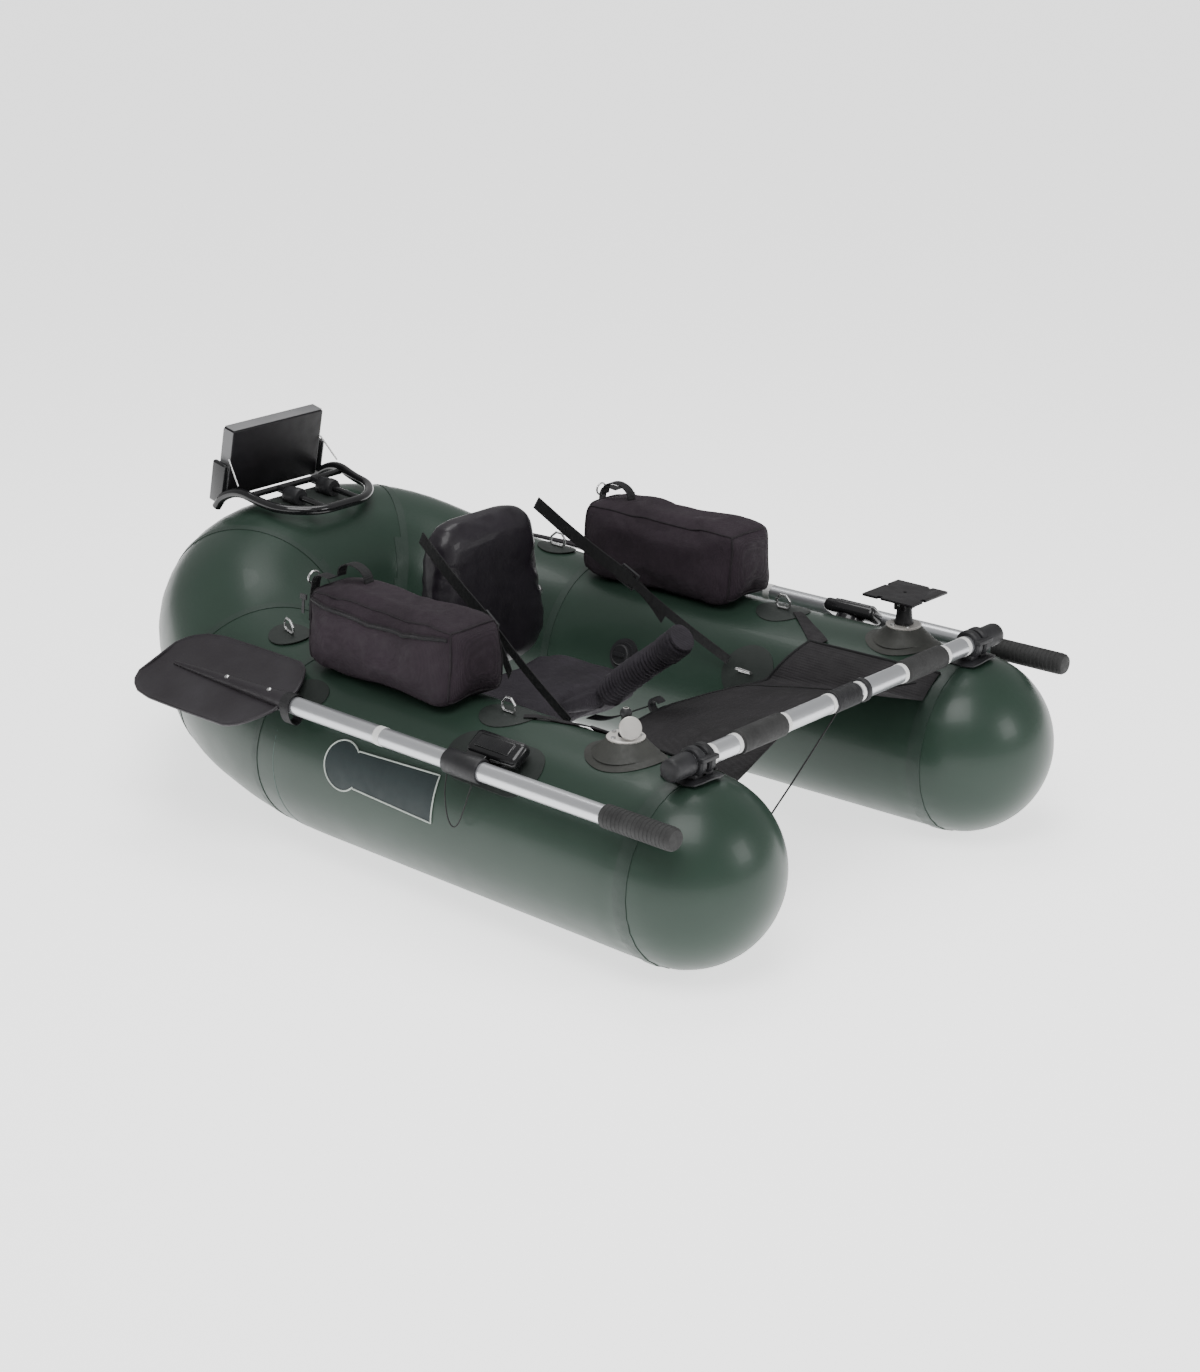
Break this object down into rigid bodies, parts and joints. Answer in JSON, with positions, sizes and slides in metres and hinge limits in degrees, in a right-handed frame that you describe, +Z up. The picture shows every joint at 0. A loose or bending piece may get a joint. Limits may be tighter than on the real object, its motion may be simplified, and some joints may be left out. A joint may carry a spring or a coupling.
{
  "type": "fishing belly boat",
  "caption": "Open U-shaped inflatable boat for one angler: two round-nosed side tubes, a seat between them, a mesh apron, a front bar and a pair of stowed oars.",
  "frame": {"origin": "on the ground, below the middle of the boat's bounding box", "axes": "+X towards the open bow, +Y to port, +Z up"},
  "size_m": [1.6099, 1.1894, 0.5927],
  "materials": {
    "hull_pvc": "satin",
    "pad_pvc": "satin",
    "grey_rubber": "matte",
    "black_rubber": "satin",
    "gloss_black": "gloss",
    "black_plastic": "matte",
    "board_plastic": "matte",
    "alloy": "satin",
    "steel": "satin",
    "black_tube": "gloss",
    "foam": "matte",
    "seat_cloth": "matte",
    "back_cloth": "satin",
    "bag_cloth": "matte",
    "mesh_cloth": "matte",
    "webbing": "matte",
    "cord": "matte"
  },
  "bodies": {
    "hull": {"stern_tube": "hull_pvc", "nose_cones": "hull_pvc", "quarter_panels": "hull_pvc", "corner_panels": "hull_pvc", "pontoon_left": "hull_pvc", "pontoon_right": "hull_pvc", "bulkheads": "hull_pvc", "valve_bodies": "gloss_black", "rowlock_bases": "gloss_black", "oar_pads": "pad_pvc", "bag_left": "bag_cloth", "bag_right": "bag_cloth", "bag_loops": "webbing", "ring_patches": "pad_pvc", "d_rings": "steel", "front_bar": "alloy", "bar_end_caps": "black_plastic", "bar_grips": "foam", "bar_wrap": "cord", "bar_clamps": "black_rubber", "mount_bases": "grey_rubber", "mount_flanges": "steel", "flange_screws": "steel", "seat_cushion": "seat_cloth", "apron_clip": "black_plastic", "webbing_straps": "webbing", "strap_buckles": "steel", "motor_board": "board_plastic", "board_brackets": "black_plastic", "board_stays": "steel", "stern_frame": "black_tube", "stern_lugs": "pad_pvc", "stern_patch": "pad_pvc", "apron": "mesh_cloth", "bar_cord": "cord", "cord_eye": "black_plastic"},
    "backrest": {"backrest": "back_cloth"},
    "crotch_sleeve": {"crotch_sleeve": "seat_cloth"},
    "rowlock_left": {"rowlock_sleeve_left": "black_plastic"},
    "rowlock_right": {"rowlock_sleeve_right": "black_plastic", "oar_tie_cord": "cord"},
    "oar_left": {"oar_blade_left": "black_plastic", "oar_bolts_left": "steel", "oar_shaft_rear_left": "alloy", "oar_shaft_front_left": "alloy", "oar_grip_left": "foam"},
    "oar_right": {"oar_blade_right": "black_plastic", "oar_bolts_right": "steel", "oar_shaft_rear_right": "alloy", "oar_shaft_front_right": "alloy", "oar_grip_right": "foam"},
    "tray_swivel": {"tray_neck": "black_plastic", "tray_pin": "steel"},
    "tray": {"instrument_tray": "black_plastic"},
    "rod_post": {"rod_post": "black_plastic"},
    "lock_knob": {"lock_knob": "steel"},
    "valve_cap_left": {"valve_cap_left": "gloss_black"},
    "valve_cap_right": {"valve_cap_right": "gloss_black"},
    "zip_left": {"zip_slider_left": "steel"},
    "zip_right": {"zip_slider_right": "steel"}
  },
  "joints": [
    {"name": "backrest_fold", "type": "hinge", "parent": "hull", "child": "backrest", "pos_m": [-0.1284, 0, 0.24], "axis": [0, 1, 0], "range_deg": [0, 65]},
    {"name": "crotch_sleeve_lift", "type": "hinge", "parent": "hull", "child": "crotch_sleeve", "pos_m": [0.142, 0, 0.2275], "axis": [0, 1, 0], "range_deg": [-45, 0]},
    {"name": "oar_swing_left", "type": "hinge", "parent": "hull", "child": "rowlock_left", "pos_m": [0.3289, 0.4653, 0.2954], "axis": [0.0189, -0.5804, -0.8141], "range_deg": [0, 13]},
    {"name": "oar_feather_left", "type": "hinge", "parent": "rowlock_left", "child": "oar_left", "pos_m": [0.299, 0.5208, 0.2857], "axis": [-0.9995, -0.0326, 0], "range_deg": [0, 60]},
    {"name": "oar_swing_right", "type": "hinge", "parent": "hull", "child": "rowlock_right", "pos_m": [0.3289, -0.4653, 0.2954], "axis": [-0.0189, -0.5804, 0.8141], "range_deg": [0, 13]},
    {"name": "oar_feather_right", "type": "hinge", "parent": "rowlock_right", "child": "oar_right", "pos_m": [0.299, -0.5208, 0.2857], "axis": [0.9995, -0.0326, 0], "range_deg": [0, 60]},
    {"name": "tray_turn", "type": "hinge", "parent": "hull", "child": "tray_swivel", "pos_m": [0.513, 0.3747, 0.35], "axis": [0, 0, 1], "continuous": true},
    {"name": "tray_tilt", "type": "hinge", "parent": "tray_swivel", "child": "tray", "pos_m": [0.513, 0.3747, 0.388], "axis": [0, 1, 0], "range_deg": [-25, 25]},
    {"name": "rod_post_turn", "type": "hinge", "parent": "hull", "child": "rod_post", "pos_m": [0.513, -0.3747, 0.35], "axis": [0, 0, 1], "continuous": true},
    {"name": "lock_knob_turn", "type": "hinge", "parent": "hull", "child": "lock_knob", "pos_m": [0.5321, -0.3862, 0.37], "axis": [0.7948, -0.4775, 0.3746], "continuous": true},
    {"name": "valve_cap_turn_left", "type": "hinge", "parent": "hull", "child": "valve_cap_left", "pos_m": [0.0021, 0.2012, 0.2186], "axis": [0.0305, -0.9362, 0.3502], "continuous": true},
    {"name": "valve_cap_turn_right", "type": "hinge", "parent": "hull", "child": "valve_cap_right", "pos_m": [0.0021, -0.2012, 0.2186], "axis": [0.0305, 0.9362, 0.3502], "continuous": true},
    {"name": "zip_run_left", "type": "slide", "parent": "hull", "child": "zip_left", "axis": [0.9995, 0.0326, 0], "range_m": [0, 0.336]},
    {"name": "zip_run_right", "type": "slide", "parent": "hull", "child": "zip_right", "axis": [0.9995, -0.0326, 0], "range_m": [0, 0.336]}
  ]
}
